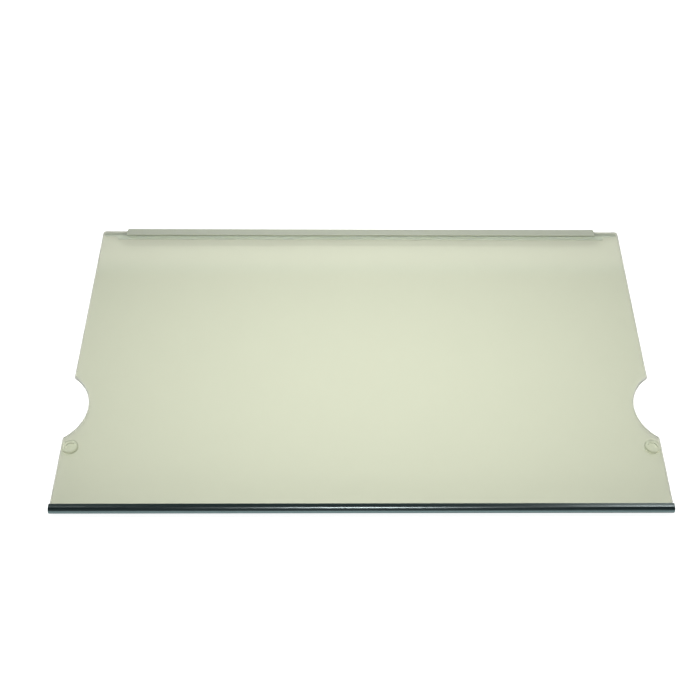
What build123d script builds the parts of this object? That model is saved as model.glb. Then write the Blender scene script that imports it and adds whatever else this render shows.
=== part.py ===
from build123d import *
import os

# Glass shelf for a refrigerator compartment.
#
# A toughened glass plate with a round recess in each side edge, a round-nosed
# trim clipped on its front edge, a U-profile clipped on its rear edge and two
# clear stop buttons bonded under it, one at each side.
#
# The origin is below the middle of the shelf, on the plane that it rests on.
# +X runs to the right along the shelf, +Y to the rear and +Z up.

# Glass plate
glass_width = 475.0
glass_depth = 300.0
glass_thickness = 4.0
glass_corner_radius = 3.0
glass_edge_radius = 1.5

# Side recesses, which let the shelf pass the compartment's supports
recess_radius = 37.5
recess_depth = 15.6
recess_setback = 202.6
recess_corner_radius = 2.0

# Clip channels of both trims
channel_clearance = 0.2
grip_width = 1.0
grip_setback = 0.8
underside_wall = 1.4

# Front trim
front_overhang = 0.1
front_nose = 2.0
front_cover = 4.2
front_top_wall = 1.4
front_lip_radius = 0.4
front_end_radius = 0.3

# Rear trim
rear_length = 430.0
rear_web = 1.0
rear_top_wall = 1.2
rear_top_cover = 6.9
rear_under_cover = 7.9
rear_outer_radius = 0.5
rear_end_radius = 2.5
tongue_reach = 8.5
foot_side_inset = 1.5
foot_cover = 4.2
foot_setback = 0.3
foot_end_radius = 1.5

# Stop buttons
stop_diameter = 13.0
stop_height = 2.5
stop_rim_radius = 1.5
stop_core_diameter = 8.0
stop_core_depth = 1.8
stop_bond = 0.1
stop_edge_inset = 0.25
stop_gap_to_recess = 7.6

# Levels, from the plane that the shelf rests on
glass_bottom = max(stop_height + stop_bond, underside_wall + channel_clearance)
glass_top = glass_bottom + glass_thickness
channel_bottom = glass_bottom - channel_clearance
channel_top = glass_top + channel_clearance
trim_bottom = channel_bottom - underside_wall

# Places along the depth, with the whole shelf centred on the origin
overall_depth = front_nose + glass_depth + rear_web
front_face = -overall_depth / 2
rear_face = overall_depth / 2
glass_front = front_face + front_nose
glass_rear = rear_face - rear_web
recess_centre = glass_rear - recess_setback

# Places across the width
glass_side = glass_width / 2
recess_axis = glass_side + recess_radius - recess_depth
recess_half_chord = (recess_radius**2 - (recess_axis - glass_side) ** 2) ** 0.5
stop_x = glass_side - stop_edge_inset - stop_diameter / 2
stop_y = recess_centre - recess_half_chord - stop_gap_to_recess


def grip_ribs(mouth, inward):
    """Draws two flat-crested ribs that hold the glass, just inside a channel's mouth.

    mouth is the channel's open end along the depth, and inward is +1 or -1
    towards its closed end.
    """
    rib_centre = mouth + inward * (grip_setback + channel_clearance + grip_width / 2)
    for level, turn in ((glass_bottom, 0), (glass_top, 180)):
        with Locations((rib_centre, level)):
            Trapezoid(
                grip_width + 2 * channel_clearance,
                channel_clearance,
                45,
                rotation=turn,
                align=(Align.CENTER, Align.MAX),
            )


# Glass plate: one sheet, its edges ground round
with BuildPart() as glass_plate:
    with BuildSketch(Plane.XY.offset(glass_bottom)) as glass_outline:
        with Locations((0, (glass_front + glass_rear) / 2)):
            RectangleRounded(glass_width, glass_depth, glass_corner_radius)
        with Locations((-recess_axis, recess_centre), (recess_axis, recess_centre)):
            Circle(recess_radius, mode=Mode.SUBTRACT)
        recess_corners = glass_outline.vertices().filter_by_position(
            Axis.Y,
            recess_centre - recess_half_chord - glass_edge_radius,
            recess_centre + recess_half_chord + glass_edge_radius,
        )
        fillet(recess_corners, recess_corner_radius)
    extrude(amount=glass_thickness)
    fillet(glass_plate.faces().filter_by(Axis.Z).edges(), glass_edge_radius)
glass_plate.part.label = "glass_plate"

# Front trim: an extruded channel with a half-round nose
front_top = channel_top + front_top_wall
nose_radius = (front_top - trim_bottom) / 2
nose_centre = front_face + nose_radius
front_mouth = glass_front + front_cover
with BuildPart() as front_trim:
    with BuildSketch(Plane.YZ) as front_profile:
        with BuildLine():
            upper = Line((front_mouth, front_top), (nose_centre, front_top))
            nose = ThreePointArc(
                upper @ 1,
                (front_face, front_top - nose_radius),
                (nose_centre, trim_bottom),
            )
            Polyline(nose @ 1, (front_mouth, trim_bottom), upper @ 0)
        make_face()
        fillet(front_profile.vertices().group_by(Axis.X)[-1], front_lip_radius)
        with BuildLine():
            Polyline(
                (front_mouth, channel_bottom),
                (glass_front, channel_bottom),
                (glass_front, channel_top),
                (front_mouth, channel_top),
                close=True,
            )
        make_face(mode=Mode.SUBTRACT)
        grip_ribs(front_mouth, -1)
    extrude(amount=glass_width / 2 + front_overhang, both=True)
    end_rims = front_trim.faces().filter_by(Axis.X).edges().filter_by(GeomType.CIRCLE)
    fillet(end_rims.group_by(SortBy.RADIUS)[-1], front_end_radius)
front_trim.part.label = "front_trim"

# Rear trim: a U-profile whose lower wall runs on past both ends, first as a tongue
# and then, narrower, as a foot that reaches almost to the corners of the glass
rear_top = channel_top + rear_top_wall
top_mouth = glass_rear - rear_top_cover
under_mouth = glass_rear - rear_under_cover
with BuildPart() as rear_trim:
    with BuildSketch(Plane.YZ) as rear_profile:
        with BuildLine():
            Polyline(
                (under_mouth, trim_bottom),
                (rear_face, trim_bottom),
                (rear_face, rear_top),
                (top_mouth, rear_top),
                (top_mouth, channel_top),
                (glass_rear, channel_top),
                (glass_rear, channel_bottom),
                (under_mouth, channel_bottom),
                close=True,
            )
        make_face()
        fillet(rear_profile.vertices().group_by(Axis.X)[-1], rear_outer_radius)
        grip_ribs(top_mouth, 1)
    extrude(amount=rear_length / 2, both=True)
    with BuildSketch() as rear_plan:
        with Locations((0, rear_face)):
            Rectangle(
                rear_length,
                rear_web + rear_under_cover,
                align=(Align.CENTER, Align.MAX),
            )
        fillet(rear_plan.vertices().group_by(Axis.Y)[-1], rear_end_radius)
    extrude(amount=rear_top, mode=Mode.INTERSECT)
    with BuildSketch(Plane.XY.offset(trim_bottom)):
        for length, cover in (
            (rear_length + 2 * tongue_reach, rear_under_cover),
            (glass_width - 2 * foot_side_inset, foot_cover),
        ):
            with Locations((0, glass_rear - foot_setback)):
                RectangleRounded(
                    length,
                    cover - foot_setback,
                    foot_end_radius,
                    align=(Align.CENTER, Align.MAX),
                )
    extrude(amount=underside_wall)
rear_trim.part.label = "rear_trim"

# Stop buttons: low round cups with a rounded free rim, their open side held under
# the glass by a thin layer of adhesive
stop_face = glass_bottom - stop_bond - stop_height
stops = []
for side, name in ((-1, "left_stop"), (1, "right_stop")):
    with BuildPart() as stop:
        with BuildSketch(Plane.XY.offset(stop_face)):
            with Locations((side * stop_x, stop_y)):
                Circle(stop_diameter / 2)
        extrude(amount=stop_height)
        fillet(stop.faces().sort_by(Axis.Z)[0].edges(), stop_rim_radius)
        with BuildSketch(Plane.XY.offset(stop_face + stop_height)):
            with Locations((side * stop_x, stop_y)):
                Circle(stop_core_diameter / 2)
        extrude(amount=-stop_core_depth, mode=Mode.SUBTRACT)
    stop.part.label = name
    stops.append(stop.part)

os.makedirs("parts", exist_ok=True)
for piece in (glass_plate.part, front_trim.part, rear_trim.part, *stops):
    export_step(piece, f"parts/{piece.label}.step")
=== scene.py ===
"""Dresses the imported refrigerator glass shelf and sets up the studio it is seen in.

The shelf's solids come from the frame and keep their shape. Each gets the finish
of the real piece: float glass with ground edges, a polished dark front trim, a
milky rear trim and clear stop buttons. The studio is a white floor and backdrop and
flat lamps. Glass and metal mirror a room in place of the backdrop, with a pale wall
behind the shelf, a dimmer one in front of it and a dark ceiling.
"""

import logging
import math
from abc import ABC, abstractmethod
from dataclasses import dataclass
from enum import Enum
from typing import Any, Mapping

import bmesh
import bpy
from mathutils import Matrix, Vector

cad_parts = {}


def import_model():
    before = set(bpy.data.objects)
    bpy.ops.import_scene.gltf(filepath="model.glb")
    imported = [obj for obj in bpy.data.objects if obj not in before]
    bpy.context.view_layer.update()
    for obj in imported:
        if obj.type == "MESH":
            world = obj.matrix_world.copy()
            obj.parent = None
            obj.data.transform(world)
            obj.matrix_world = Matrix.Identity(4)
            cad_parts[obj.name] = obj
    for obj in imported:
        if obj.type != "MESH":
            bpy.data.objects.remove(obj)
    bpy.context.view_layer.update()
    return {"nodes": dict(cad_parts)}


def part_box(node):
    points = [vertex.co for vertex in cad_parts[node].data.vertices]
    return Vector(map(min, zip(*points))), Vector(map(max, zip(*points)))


LOG = logging.getLogger("glass_shelf")
MILLIMETRE = 0.001
PHOTO_SIDE_PX = 700
SENSOR_WIDTH_MM = 36.0

# A Mix node's colour sockets by place, because its number sockets have the same names
COLOUR_A = 6
COLOUR_B = 7
MIXED_COLOUR = 2

Colour = tuple[float, float, float, float]


class Axis(Enum):
    """An axis of the frame."""

    X = 0
    Y = 1
    Z = 2


class Ray(Enum):
    """A kind of ray that a material or the room answers in its own way."""

    CAMERA = "Is Camera Ray"
    MIRROR = "Is Glossy Ray"
    GLASS = "Is Transmission Ray"
    SHADOW = "Is Shadow Ray"
    DIFFUSE = "Is Diffuse Ray"


def linear_colour(code: str) -> Colour:
    """Turns an sRGB hex value into a linear colour.

    Args:
        code: six hex digits, red first.

    Returns:
        Linear red, green and blue, and an alpha of 1.
    """
    shares = [int(code[i : i + 2], 16) / 255 for i in (0, 2, 4)]
    linear = [s / 12.92 if s <= 0.04045 else ((s + 0.055) / 1.055) ** 2.4 for s in shares]
    return (linear[0], linear[1], linear[2], 1.0)


def repeats_per_metre(size_mm: float) -> float:
    """Gives the texture scale at which a pattern's features are size_mm apart."""
    return 1 / (size_mm * MILLIMETRE)


def add_node(
    tree: bpy.types.NodeTree,
    kind: str,
    inputs: Mapping[str | int, Any] | None = None,
    **settings: Any,
) -> bpy.types.Node:
    """Adds a node, sets its properties, and sets or links its inputs.

    Args:
        tree: the tree that the node goes into.
        kind: the node's type name, without the ShaderNode prefix.
        inputs: a value, or an output socket to link from, for each input by name or place.
        **settings: properties of the node itself.

    Returns:
        The new node.
    """
    node = tree.nodes.new("ShaderNode" + kind)
    for name, value in settings.items():
        setattr(node, name, value)
    for name, value in (inputs or {}).items():
        if isinstance(value, bpy.types.NodeSocket):
            tree.links.new(value, node.inputs[name])
        else:
            node.inputs[name].default_value = value
    return node


def stretched_place(tree: bpy.types.NodeTree, run: Axis, stretch: float) -> bpy.types.NodeSocket:
    """Gives object coordinates on which a pattern is drawn out along one axis.

    Args:
        tree: the material's node tree.
        run: the axis that the pattern runs along.
        stretch: how many times longer the pattern is along that axis.

    Returns:
        The coordinate socket.
    """
    scale = [1.0, 1.0, 1.0]
    scale[run.value] = 1 / stretch
    place = add_node(tree, "TexCoord").outputs["Object"]
    return add_node(tree, "Mapping", {"Vector": place, "Scale": scale}).outputs["Vector"]


def let_light_through(
    tree: bpy.types.NodeTree,
    surface: bpy.types.Node,
    tint: Colour | bpy.types.NodeSocket,
) -> bpy.types.NodeSocket:
    """Lets the lamps' light through a surface, so that what lies under it is lit.

    Args:
        tree: the material's node tree.
        surface: the shader that the eye sees.
        tint: the share of light that each face lets through.

    Returns:
        The shader socket of both together.
    """
    rays = add_node(tree, "LightPath")
    passing = add_node(
        tree,
        "Math",
        {0: rays.outputs[Ray.SHADOW.value], 1: rays.outputs[Ray.DIFFUSE.value]},
        operation="MAXIMUM",
    )
    gap = add_node(tree, "BsdfTransparent", {"Color": tint})
    both = add_node(tree, "MixShader", {0: passing.outputs[0], 1: surface.outputs[0], 2: gap.outputs[0]})
    return both.outputs[0]


@dataclass(frozen=True, kw_only=True)
class Finish(ABC):
    """What a piece is made of and how its surface was made."""

    name: str

    @abstractmethod
    def shader(self, tree: bpy.types.NodeTree) -> bpy.types.NodeSocket:
        """Builds the surface in a node tree.

        Args:
            tree: the material's node tree.

        Returns:
            The shader socket of the surface.
        """

    def dress(self, mesh: bpy.types.Mesh) -> None:
        """Gives a mesh this finish in place of what it had.

        Args:
            mesh: the mesh to dress.
        """
        material = bpy.data.materials.new(self.name)
        material.use_nodes = True
        tree = material.node_tree
        tree.nodes.clear()
        output = add_node(tree, "OutputMaterial")
        tree.links.new(self.shader(tree), output.inputs["Surface"])
        mesh.materials.clear()
        mesh.materials.append(material)


@dataclass(frozen=True, kw_only=True)
class FloatGlass(Finish):
    """Toughened soda-lime float glass, its faces fire-polished and its edges ground round.

    The faces are clear with a pale green tint, mirror a little and have faint smears. The ground
    edges scatter light, so they show as a thin grey-green line round the plate. A face is told
    from an edge by how far its normal is upright.
    """

    name: str = "toughened_float_glass"
    face_tint: str = "EBEBE0"
    edge_tint: str = "DBDBD4"
    lamp_tint: str = "F4F6EE"
    edge_lamp_tint: str = "CFD1C8"
    ior: float = 1.52
    face_clearness: float = 1.0
    edge_clearness: float = 0.35
    face_upright: float = 0.995
    edge_upright: float = 0.94
    face_roughness: float = 0.0
    smear_roughness: float = 0.02
    edge_roughness: float = 0.45
    smear_size_mm: float = 90.0
    smear_detail: float = 4.0
    smear_unevenness: float = 0.6
    smear_range: tuple[float, float] = (0.5, 0.75)
    # Real grinding marks are finer, and are drawn this coarse so that they show.
    grind_size_mm: float = 0.35
    grind_detail: float = 2.0
    grind_depth_mm: float = 0.02

    def shader(self, tree: bpy.types.NodeTree) -> bpy.types.NodeSocket:
        """Builds clear faces with smears and frosted edges with grinding marks.

        Args:
            tree: the material's node tree.

        Returns:
            The shader socket of the glass.
        """
        place = add_node(tree, "TexCoord")
        facing = add_node(tree, "SeparateXYZ", {0: place.outputs["Normal"]})
        upright = add_node(tree, "Math", {0: facing.outputs["Z"]}, operation="ABSOLUTE")
        edge = add_node(
            tree,
            "MapRange",
            {"Value": upright.outputs[0], "From Min": self.face_upright, "From Max": self.edge_upright},
        ).outputs["Result"]
        smear = add_node(
            tree,
            "TexNoise",
            {
                "Vector": place.outputs["Object"],
                "Scale": repeats_per_metre(self.smear_size_mm),
                "Detail": self.smear_detail,
                "Roughness": self.smear_unevenness,
            },
        )
        face_roughness = add_node(
            tree,
            "MapRange",
            {
                "Value": smear.outputs["Fac"],
                "From Min": self.smear_range[0],
                "From Max": self.smear_range[1],
                "To Min": self.face_roughness,
                "To Max": self.smear_roughness,
            },
        )
        roughness = add_node(
            tree,
            "Mix",
            {"Factor": edge, "A": face_roughness.outputs["Result"], "B": self.edge_roughness},
        )
        clearness = add_node(
            tree,
            "Mix",
            {"Factor": edge, "A": self.face_clearness, "B": self.edge_clearness},
        )
        tint, lamp_tint = (
            add_node(
                tree,
                "Mix",
                {"Factor": edge, COLOUR_A: linear_colour(on_face), COLOUR_B: linear_colour(on_edge)},
                data_type="RGBA",
            ).outputs[MIXED_COLOUR]
            for on_face, on_edge in (
                (self.face_tint, self.edge_tint),
                (self.lamp_tint, self.edge_lamp_tint),
            )
        )
        grind = add_node(
            tree,
            "TexNoise",
            {
                "Vector": place.outputs["Object"],
                "Scale": repeats_per_metre(self.grind_size_mm),
                "Detail": self.grind_detail,
            },
        )
        relief = add_node(
            tree,
            "Bump",
            {
                "Height": grind.outputs["Fac"],
                "Strength": edge,
                "Distance": self.grind_depth_mm * MILLIMETRE,
            },
        )
        glass = add_node(
            tree,
            "BsdfPrincipled",
            {
                "Base Color": tint,
                "Roughness": roughness.outputs["Result"],
                "Normal": relief.outputs["Normal"],
                "IOR": self.ior,
                "Transmission Weight": clearness.outputs["Result"],
            },
        )
        return let_light_through(tree, glass, lamp_tint)


@dataclass(frozen=True, kw_only=True)
class PolishedTrim(Finish):
    """Polished aluminium extrusion, dark anodised, with faint die lines along its length.

    It mirrors the room in dark tones, and a lamp shows on its nose as a thin bright line.
    """

    name: str = "dark_anodised_aluminium"
    colour: str = "6A7D7E"
    line_colour: str = "5F7172"
    metallic: float = 1.0
    roughness: float = 0.27
    line_roughness: float = 0.29
    # Real die lines lie closer together, and are drawn this coarse so that they show.
    line_size_mm: float = 0.5
    line_stretch: float = 1500.0
    line_detail: float = 3.0
    line_range: tuple[float, float] = (0.3, 0.7)
    line_depth_mm: float = 0.0003
    line_relief: float = 0.5

    def shader(self, tree: bpy.types.NodeTree) -> bpy.types.NodeSocket:
        """Builds the metal with die lines that run along the extrusion.

        Args:
            tree: the material's node tree.

        Returns:
            The shader socket of the metal.
        """
        lines = add_node(
            tree,
            "TexNoise",
            {
                "Vector": stretched_place(tree, Axis.X, self.line_stretch),
                "Scale": repeats_per_metre(self.line_size_mm),
                "Detail": self.line_detail,
            },
        ).outputs["Fac"]
        colour = add_node(
            tree,
            "Mix",
            {
                "Factor": lines,
                COLOUR_A: linear_colour(self.colour),
                COLOUR_B: linear_colour(self.line_colour),
            },
            data_type="RGBA",
        )
        roughness = add_node(
            tree,
            "MapRange",
            {
                "Value": lines,
                "From Min": self.line_range[0],
                "From Max": self.line_range[1],
                "To Min": self.roughness,
                "To Max": self.line_roughness,
            },
        )
        relief = add_node(
            tree,
            "Bump",
            {
                "Height": lines,
                "Strength": self.line_relief,
                "Distance": self.line_depth_mm * MILLIMETRE,
            },
        )
        metal = add_node(
            tree,
            "BsdfPrincipled",
            {
                "Base Color": colour.outputs[MIXED_COLOUR],
                "Roughness": roughness.outputs["Result"],
                "Normal": relief.outputs["Normal"],
                "Metallic": self.metallic,
            },
        )
        return metal.outputs[0]


@dataclass(frozen=True, kw_only=True)
class MilkyTrim(Finish):
    """Milky translucent polypropylene extrusion with a soft gloss.

    Light enters it and spreads, so it looks pale and soft. Its thin foot lets more light
    through than its walls. The foot is painted paler than the walls, and the lip under the glass
    paler still: painted light that stands in for light coming through the thin plastic. The foot
    ends upwards at foot_top_m, and the lip ends to the rear at lip_rear_m.
    """

    foot_top_m: float
    lip_rear_m: float
    name: str = "milky_polypropylene"
    colour: str = "AEB2A3"
    cloud_colour: str = "A9AD9D"
    foot_painted_light_colour: str = "C4C8C8"
    lip_painted_light_colour: str = "E3EAEA"
    lamp_tint: str = "B4B4AE"
    foot_lamp_tint: str = "F0F0EA"
    colour_blend_mm: float = 0.5
    ior: float = 1.49
    spread_mm: float = 1.5
    spread_share: float = 0.3
    spread_by_colour: tuple[float, float, float] = (1.0, 1.0, 0.8)
    roughness: float = 0.32
    cloud_roughness: float = 0.42
    cloud_size_mm: float = 9.0
    cloud_stretch: float = 30.0
    cloud_detail: float = 4.0
    cloud_depth_mm: float = 0.01
    cloud_relief: float = 0.4

    def shader(self, tree: bpy.types.NodeTree) -> bpy.types.NodeSocket:
        """Builds the plastic with cloudy streaks along the extrusion.

        Args:
            tree: the material's node tree.

        Returns:
            The shader socket of the plastic.
        """
        cloud = add_node(
            tree,
            "TexNoise",
            {
                "Vector": stretched_place(tree, Axis.X, self.cloud_stretch),
                "Scale": repeats_per_metre(self.cloud_size_mm),
                "Detail": self.cloud_detail,
            },
        ).outputs["Fac"]
        place = add_node(tree, "TexCoord")
        spot = add_node(tree, "SeparateXYZ", {0: place.outputs["Object"]})
        above_foot, behind_lip = (
            add_node(
                tree,
                "MapRange",
                {
                    "Value": spot.outputs[axis.name],
                    "From Min": border_m,
                    "From Max": border_m + self.colour_blend_mm * MILLIMETRE,
                },
            ).outputs["Result"]
            for axis, border_m in ((Axis.Z, self.foot_top_m), (Axis.Y, self.lip_rear_m))
        )
        # The foot's and the lip's paler colours are painted light, standing in for light that comes
        # through the thin plastic.
        walls, foot, lamp_tint = (
            add_node(
                tree,
                "Mix",
                {"Factor": change, COLOUR_A: linear_colour(before), COLOUR_B: linear_colour(after)},
                data_type="RGBA",
            ).outputs[MIXED_COLOUR]
            for change, before, after in (
                (cloud, self.colour, self.cloud_colour),
                (behind_lip, self.lip_painted_light_colour, self.foot_painted_light_colour),
                (above_foot, self.foot_lamp_tint, self.lamp_tint),
            )
        )
        colour = add_node(
            tree,
            "Mix",
            {"Factor": above_foot, COLOUR_A: foot, COLOUR_B: walls},
            data_type="RGBA",
        )
        roughness = add_node(
            tree,
            "MapRange",
            {"Value": cloud, "To Min": self.roughness, "To Max": self.cloud_roughness},
        )
        relief = add_node(
            tree,
            "Bump",
            {
                "Height": cloud,
                "Strength": self.cloud_relief,
                "Distance": self.cloud_depth_mm * MILLIMETRE,
            },
        )
        plastic = add_node(
            tree,
            "BsdfPrincipled",
            {
                "Base Color": colour.outputs[MIXED_COLOUR],
                "Roughness": roughness.outputs["Result"],
                "Normal": relief.outputs["Normal"],
                "IOR": self.ior,
                "Subsurface Weight": self.spread_share,
                "Subsurface Radius": self.spread_by_colour,
                "Subsurface Scale": self.spread_mm * MILLIMETRE,
            },
        )
        return let_light_through(tree, plastic, lamp_tint)


@dataclass(frozen=True, kw_only=True)
class ClearButton(Finish):
    """Clear moulded polyurethane, glossy, with a slight cloud in it.

    It lets most light through, so it shows as a pale disc. Its rim is painted darker, a painted
    shade that grows with the distance from a centre set off from the disc's middle.
    """

    shade_centre_m: tuple[float, float]
    name: str = "clear_polyurethane"
    tint: str = "FFFFFF"
    rim_shade_tint: str = "D0D2C6"
    lamp_tint: str = "F8F9F4"
    shade_inner_mm: float = 4.9
    shade_outer_mm: float = 7.4
    clearness: float = 0.45
    ior: float = 1.49
    roughness: float = 0.06
    cloud_roughness: float = 0.14
    cloud_size_mm: float = 3.0
    cloud_detail: float = 3.0

    def shader(self, tree: bpy.types.NodeTree) -> bpy.types.NodeSocket:
        """Builds the clear plastic with the painted shade on its rim.

        Args:
            tree: the material's node tree.

        Returns:
            The shader socket of the plastic.
        """
        place = add_node(tree, "TexCoord").outputs["Object"]
        cloud = add_node(
            tree,
            "TexNoise",
            {
                "Vector": place,
                "Scale": repeats_per_metre(self.cloud_size_mm),
                "Detail": self.cloud_detail,
            },
        )
        roughness = add_node(
            tree,
            "MapRange",
            {"Value": cloud.outputs["Fac"], "To Min": self.roughness, "To Max": self.cloud_roughness},
        )
        # The height is scaled to nothing, so that the length is a radius in plan.
        centred = add_node(
            tree,
            "Mapping",
            {
                "Vector": place,
                "Location": [-c for c in self.shade_centre_m] + [0.0],
                "Scale": (1.0, 1.0, 0.0),
            },
        )
        radius = add_node(tree, "VectorMath", {0: centred.outputs["Vector"]}, operation="LENGTH")
        rim = add_node(
            tree,
            "MapRange",
            {
                "Value": radius.outputs["Value"],
                "From Min": self.shade_inner_mm * MILLIMETRE,
                "From Max": self.shade_outer_mm * MILLIMETRE,
            },
            interpolation_type="SMOOTHSTEP",
        )
        # The rim band is painted shade, heaviest where the off-centre middle leaves the band widest.
        colour = add_node(
            tree,
            "Mix",
            {
                "Factor": rim.outputs["Result"],
                COLOUR_A: linear_colour(self.tint),
                COLOUR_B: linear_colour(self.rim_shade_tint),
            },
            data_type="RGBA",
        )
        plastic = add_node(
            tree,
            "BsdfPrincipled",
            {
                "Base Color": colour.outputs[MIXED_COLOUR],
                "Roughness": roughness.outputs["Result"],
                "IOR": self.ior,
                "Transmission Weight": self.clearness,
            },
        )
        return let_light_through(tree, plastic, linear_colour(self.lamp_tint))


@dataclass(frozen=True, kw_only=True)
class PaleFloor(Finish):
    """Matt white paper that the shelf lies on.

    It takes the lamps' light and the shelf's shadow, and adds a glow that lifts it to white,
    more so away from the lamps. Through the glass the glow is weaker.
    """

    name: str = "white_paper"
    colour: str = "E8E8E6"
    near_glow: float = 0.85
    far_glow: float = 1.05
    near_radius_m: float = 0.25
    far_radius_m: float = 0.60
    camera_share: float = 1.0
    mirror_share: float = 0.6
    glass_share: float = 0.08

    def shader(self, tree: bpy.types.NodeTree) -> bpy.types.NodeSocket:
        """Builds the paper with its glow.

        Args:
            tree: the material's node tree.

        Returns:
            The shader socket of the paper.
        """
        place = add_node(tree, "TexCoord")
        distance = add_node(tree, "VectorMath", {0: place.outputs["Object"]}, operation="LENGTH")
        glow = add_node(
            tree,
            "MapRange",
            {
                "Value": distance.outputs["Value"],
                "From Min": self.near_radius_m,
                "From Max": self.far_radius_m,
                "To Min": self.near_glow,
                "To Max": self.far_glow,
            },
        )
        rays = add_node(tree, "LightPath")
        # A ray that went through glass counts as a mirrored one too.
        shares = {
            Ray.CAMERA: self.camera_share,
            Ray.MIRROR: self.mirror_share,
            Ray.GLASS: self.glass_share - self.mirror_share,
        }
        seen: bpy.types.NodeSocket | float = 0.0
        for ray, share in shares.items():
            seen = add_node(
                tree,
                "Math",
                {0: rays.outputs[ray.value], 1: share, 2: seen},
                operation="MULTIPLY_ADD",
            ).outputs[0]
        strength = add_node(tree, "Math", {0: glow.outputs["Result"], 1: seen}, operation="MULTIPLY")
        paper = add_node(tree, "BsdfDiffuse", {"Color": linear_colour(self.colour)})
        light = add_node(tree, "Emission", {"Strength": strength.outputs[0]})
        return add_node(tree, "AddShader", {0: paper.outputs[0], 1: light.outputs[0]}).outputs[0]


@dataclass(frozen=True)
class GlassShelf:
    """The shelf's five pieces, which keep the shapes of the frame and get finishes.

    The rear trim's foot reaches foot_cover_mm under the glass from its rear edge. The painted shade
    on a stop's rim is centred off the stop, outwards and to the rear, so that it is darkest at the front
    and towards the middle of the shelf.
    """

    foot_cover_mm: float = 4.2
    shade_shift_mm: tuple[float, float] = (0.6, 1.0)

    def rear_trim_finish(self) -> MilkyTrim:
        """Makes the rear trim's finish, with its borders set by the glass.

        Returns:
            The finish.
        """
        low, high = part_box("glass_plate")
        return MilkyTrim(foot_top_m=low.z, lip_rear_m=high.y - self.foot_cover_mm * MILLIMETRE)

    def stop_finish(self, node: str) -> ClearButton:
        """Makes the finish of a stop, with its rim's painted shade centred off the stop's middle.

        Args:
            node: the stop's name in the frame.

        Returns:
            The finish.
        """
        low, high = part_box(node)
        middle = (low + high) / 2
        outwards, rearwards = (shift * MILLIMETRE for shift in self.shade_shift_mm)
        return ClearButton(
            shade_centre_m=(middle.x + math.copysign(outwards, middle.x), middle.y + rearwards)
        )

    def finishes(self) -> dict[str, Finish]:
        """Chooses the finish of each piece.

        Returns:
            The finishes by the pieces' names in the frame.
        """
        return {
            "glass_plate": FloatGlass(),
            "front_trim": PolishedTrim(),
            "rear_trim": self.rear_trim_finish(),
            "left_stop": self.stop_finish("left_stop"),
            "right_stop": self.stop_finish("right_stop"),
        }


@dataclass(frozen=True)
class Lamp:
    """One flat lamp of the studio.

    A lamp with a node in only_on lights that node alone and is mirrored in it. The others
    light everything and are mirrored nowhere.
    """

    name: str
    place_m: tuple[float, float, float]
    aim_m: tuple[float, float, float]
    size_m: tuple[float, float]
    power_w: float
    colour: str = "FFFFFF"
    only_on: str | None = None

    def build(self, scene: bpy.types.Scene, nodes: Mapping[str, bpy.types.Object]) -> None:
        """Makes the lamp, turned towards its aim.

        Args:
            scene: the scene that the lamp goes into.
            nodes: the frame's solids by name.
        """
        light = bpy.data.lights.new(self.name, "AREA")
        light.shape = "RECTANGLE"
        light.size, light.size_y = self.size_m
        light.energy = self.power_w
        light.color = linear_colour(self.colour)[:3]
        lamp = bpy.data.objects.new(self.name, light)
        lamp.location = self.place_m
        beam = Vector(self.aim_m) - Vector(self.place_m)
        lamp.rotation_euler = beam.to_track_quat("-Z", "Y").to_euler()
        lamp.visible_camera = False
        lamp.visible_glossy = self.only_on is not None
        lamp.visible_transmission = False
        if self.only_on is not None:
            lit = bpy.data.collections.new(self.name + "_lights")
            lit.objects.link(nodes[self.only_on])
            lamp.light_linking.receiver_collection = lit
        scene.collection.objects.link(lamp)


@dataclass(frozen=True)
class HighlightStrip(Lamp):
    """A small lamp that draws a highlight along the front trim."""

    colour: str = "FFE8E6"
    only_on: str | None = "front_trim"


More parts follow.
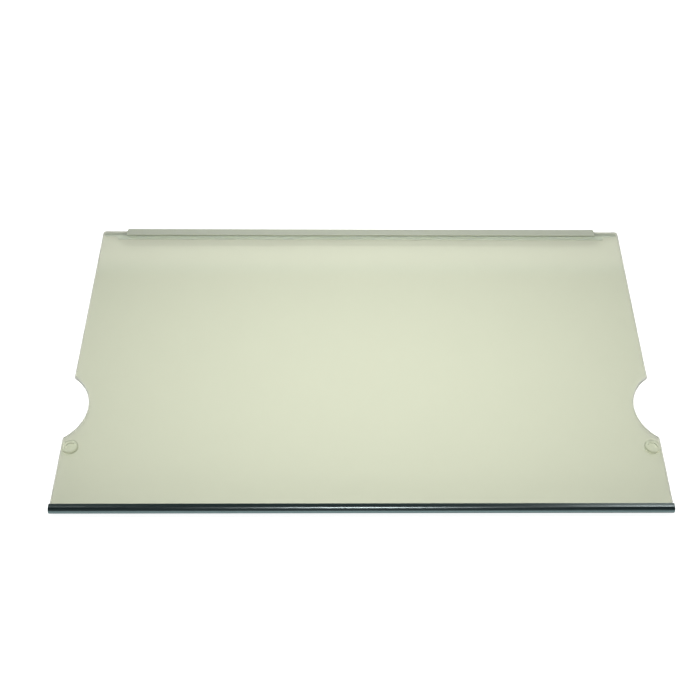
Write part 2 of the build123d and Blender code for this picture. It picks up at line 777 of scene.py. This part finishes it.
@dataclass(frozen=True)
class Studio:
    """The floor, the room's light, the lamps and the camera.

    The room's walls go from the front's light to the back's over wall_change to each side of
    the middle, as a share of the viewing direction.
    """

    floor_size_m: float = 12.0
    floor_gap_mm: float = 0.05
    paper: PaleFloor = PaleFloor()
    back_wall_light: float = 0.95
    front_wall_light: float = 0.2
    wall_change: float = 0.3
    wall_colour: str = "E7E7E7"
    ceiling_light: float = 0.07
    ceiling_colour: str = "A0D0DC"
    back_wall_top_deg: float = 45.5
    side_wall_top_deg: float = 38.0
    wall_top_blur: float = 0.04
    backdrop_colour: str = "FFFFFF"
    backdrop_light: float = 1.0
    camera_place_mm: tuple[float, float, float] = (-6.68, -614.81, 752.37)
    camera_pitch_deg: float = 50.266
    camera_yaw_deg: float = -1.273
    camera_roll_deg: float = 1.017
    focal_length_px: float = 1150.0
    optical_centre_px: tuple[float, float] = (370.25, 352.12)
    lamps: tuple[Lamp, ...] = (
        Lamp(
            name="overhead_softbox",
            place_m=(0.008, -0.026, 0.40),
            aim_m=(0.008, -0.026, 0.0),
            size_m=(0.58, 0.1),
            power_w=2.16,
        ),
        Lamp(
            name="rear_softbox",
            place_m=(0.0, 0.50, 0.36),
            aim_m=(0.0, 0.1, 0.0),
            size_m=(0.2, 0.02),
            power_w=0.74,
        ),
        Lamp(
            name="front_softbox",
            place_m=(0.0, -0.9, 0.16),
            aim_m=(0.0, 0.0, 0.0),
            size_m=(0.8, 0.2),
            power_w=1.6,
        ),
        HighlightStrip(
            name="overhead_strip",
            place_m=(0.006, -0.26, 0.70),
            aim_m=(0.006, -0.15, 0.0),
            size_m=(0.10, 0.13),
            power_w=1.45,
        ),
        HighlightStrip(
            name="right_strip",
            place_m=(0.43, 0.12, 0.72),
            aim_m=(0.2, -0.1, 0.0),
            size_m=(0.16, 0.08),
            power_w=0.8,
        ),
        HighlightStrip(
            name="left_strip",
            place_m=(-0.46, 0.10, 0.72),
            aim_m=(-0.2, -0.1, 0.0),
            size_m=(0.16, 0.1),
            power_w=0.16,
        ),
    )

    def build_floor(self, scene: bpy.types.Scene) -> None:
        """Makes the floor, a hair below the shelf.

        Args:
            scene: the scene that the floor goes into.
        """
        mesh = bpy.data.meshes.new("floor")
        shape = bmesh.new()
        bmesh.ops.create_grid(shape, x_segments=1, y_segments=1, size=self.floor_size_m / 2)
        bmesh.ops.translate(shape, verts=shape.verts, vec=(0, 0, -self.floor_gap_mm * MILLIMETRE))
        shape.to_mesh(mesh)
        shape.free()
        self.paper.dress(mesh)
        floor = bpy.data.objects.new("floor", mesh)
        scene.collection.objects.link(floor)

    def build_room(self, scene: bpy.types.Scene) -> None:
        """Lights a square room with a pale wall behind, dimmer in front, and a dark ceiling.

        The camera sees a white backdrop in place of the room.

        Args:
            scene: the scene that the room belongs to.
        """
        world = bpy.data.worlds.new("room")
        world.use_nodes = True
        tree = world.node_tree
        tree.nodes.clear()
        place = add_node(tree, "TexCoord")
        direction = add_node(tree, "SeparateXYZ", {0: place.outputs["Generated"]})
        wall = add_node(
            tree,
            "MapRange",
            {
                "Value": direction.outputs["Y"],
                "From Min": -self.wall_change,
                "From Max": self.wall_change,
                "To Min": self.front_wall_light,
                "To Max": self.back_wall_light,
            },
            interpolation_type="SMOOTHSTEP",
        )
        slopes = [math.tan(math.radians(d)) for d in (self.side_wall_top_deg, self.back_wall_top_deg)]
        sideways = add_node(tree, "VectorMath", {0: place.outputs["Generated"]}, operation="ABSOLUTE")
        tops = add_node(
            tree,
            "VectorMath",
            {0: sideways.outputs[0], 1: (*slopes, 0.0)},
            operation="MULTIPLY",
        )
        top = add_node(tree, "SeparateXYZ", {0: tops.outputs[0]})
        wall_top = add_node(
            tree,
            "Math",
            {0: top.outputs["X"], 1: top.outputs["Y"]},
            operation="MAXIMUM",
        )
        rise = add_node(
            tree,
            "Math",
            {0: direction.outputs["Z"], 1: wall_top.outputs[0]},
            operation="DIVIDE",
        )
        overhead = add_node(
            tree,
            "MapRange",
            {"Value": rise.outputs[0], "From Min": 1.0, "From Max": 1.0 + self.wall_top_blur},
            interpolation_type="SMOOTHSTEP",
        ).outputs["Result"]
        strength = add_node(
            tree,
            "Mix",
            {"Factor": overhead, "A": wall.outputs["Result"], "B": self.ceiling_light},
        )
        colour = add_node(
            tree,
            "Mix",
            {
                "Factor": overhead,
                COLOUR_A: linear_colour(self.wall_colour),
                COLOUR_B: linear_colour(self.ceiling_colour),
            },
            data_type="RGBA",
        )
        light = add_node(
            tree,
            "Background",
            {"Color": colour.outputs[MIXED_COLOUR], "Strength": strength.outputs["Result"]},
        )
        backdrop = add_node(
            tree,
            "Background",
            {"Color": linear_colour(self.backdrop_colour), "Strength": self.backdrop_light},
        )
        rays = add_node(tree, "LightPath")
        seen = add_node(
            tree,
            "MixShader",
            {0: rays.outputs[Ray.CAMERA.value], 1: light.outputs[0], 2: backdrop.outputs[0]},
        )
        add_node(tree, "OutputWorld", {"Surface": seen.outputs[0]})
        scene.world = world

    def build_camera(self, scene: bpy.types.Scene) -> None:
        """Makes the camera at the photograph's viewing angle.

        Args:
            scene: the scene that the camera looks at.
        """
        lens = bpy.data.cameras.new("camera")
        lens.sensor_width = SENSOR_WIDTH_MM
        lens.lens = self.focal_length_px / PHOTO_SIDE_PX * SENSOR_WIDTH_MM
        lens.shift_x = 0.5 - self.optical_centre_px[0] / PHOTO_SIDE_PX
        lens.shift_y = self.optical_centre_px[1] / PHOTO_SIDE_PX - 0.5
        camera = bpy.data.objects.new("camera", lens)
        turn = (
            Matrix.Rotation(math.radians(self.camera_yaw_deg), 4, "Z")
            @ Matrix.Rotation(math.radians(90 - self.camera_pitch_deg), 4, "X")
            @ Matrix.Rotation(math.radians(self.camera_roll_deg), 4, "Z")
        )
        camera.matrix_world = Matrix.Translation(Vector(self.camera_place_mm) * MILLIMETRE) @ turn
        scene.collection.objects.link(camera)
        scene.camera = camera

    def build(self, scene: bpy.types.Scene, nodes: Mapping[str, bpy.types.Object]) -> None:
        """Sets up the whole studio in the scene.

        Args:
            scene: the scene that the studio goes into.
            nodes: the frame's solids by name.
        """
        scene.view_settings.view_transform = "Standard"
        self.build_floor(scene)
        self.build_room(scene)
        for lamp in self.lamps:
            lamp.build(scene, nodes)
        self.build_camera(scene)


def main() -> None:
    """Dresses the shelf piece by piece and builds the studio."""
    logging.basicConfig(level=logging.INFO, format="%(name)s: %(message)s")
    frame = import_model()
    for name, finish in GlassShelf().finishes().items():
        finish.dress(frame["nodes"][name].data)
        LOG.info("%s wears %s", name, finish.name)
    Studio().build(bpy.context.scene, frame["nodes"])


if __name__ == "__main__":
    main()
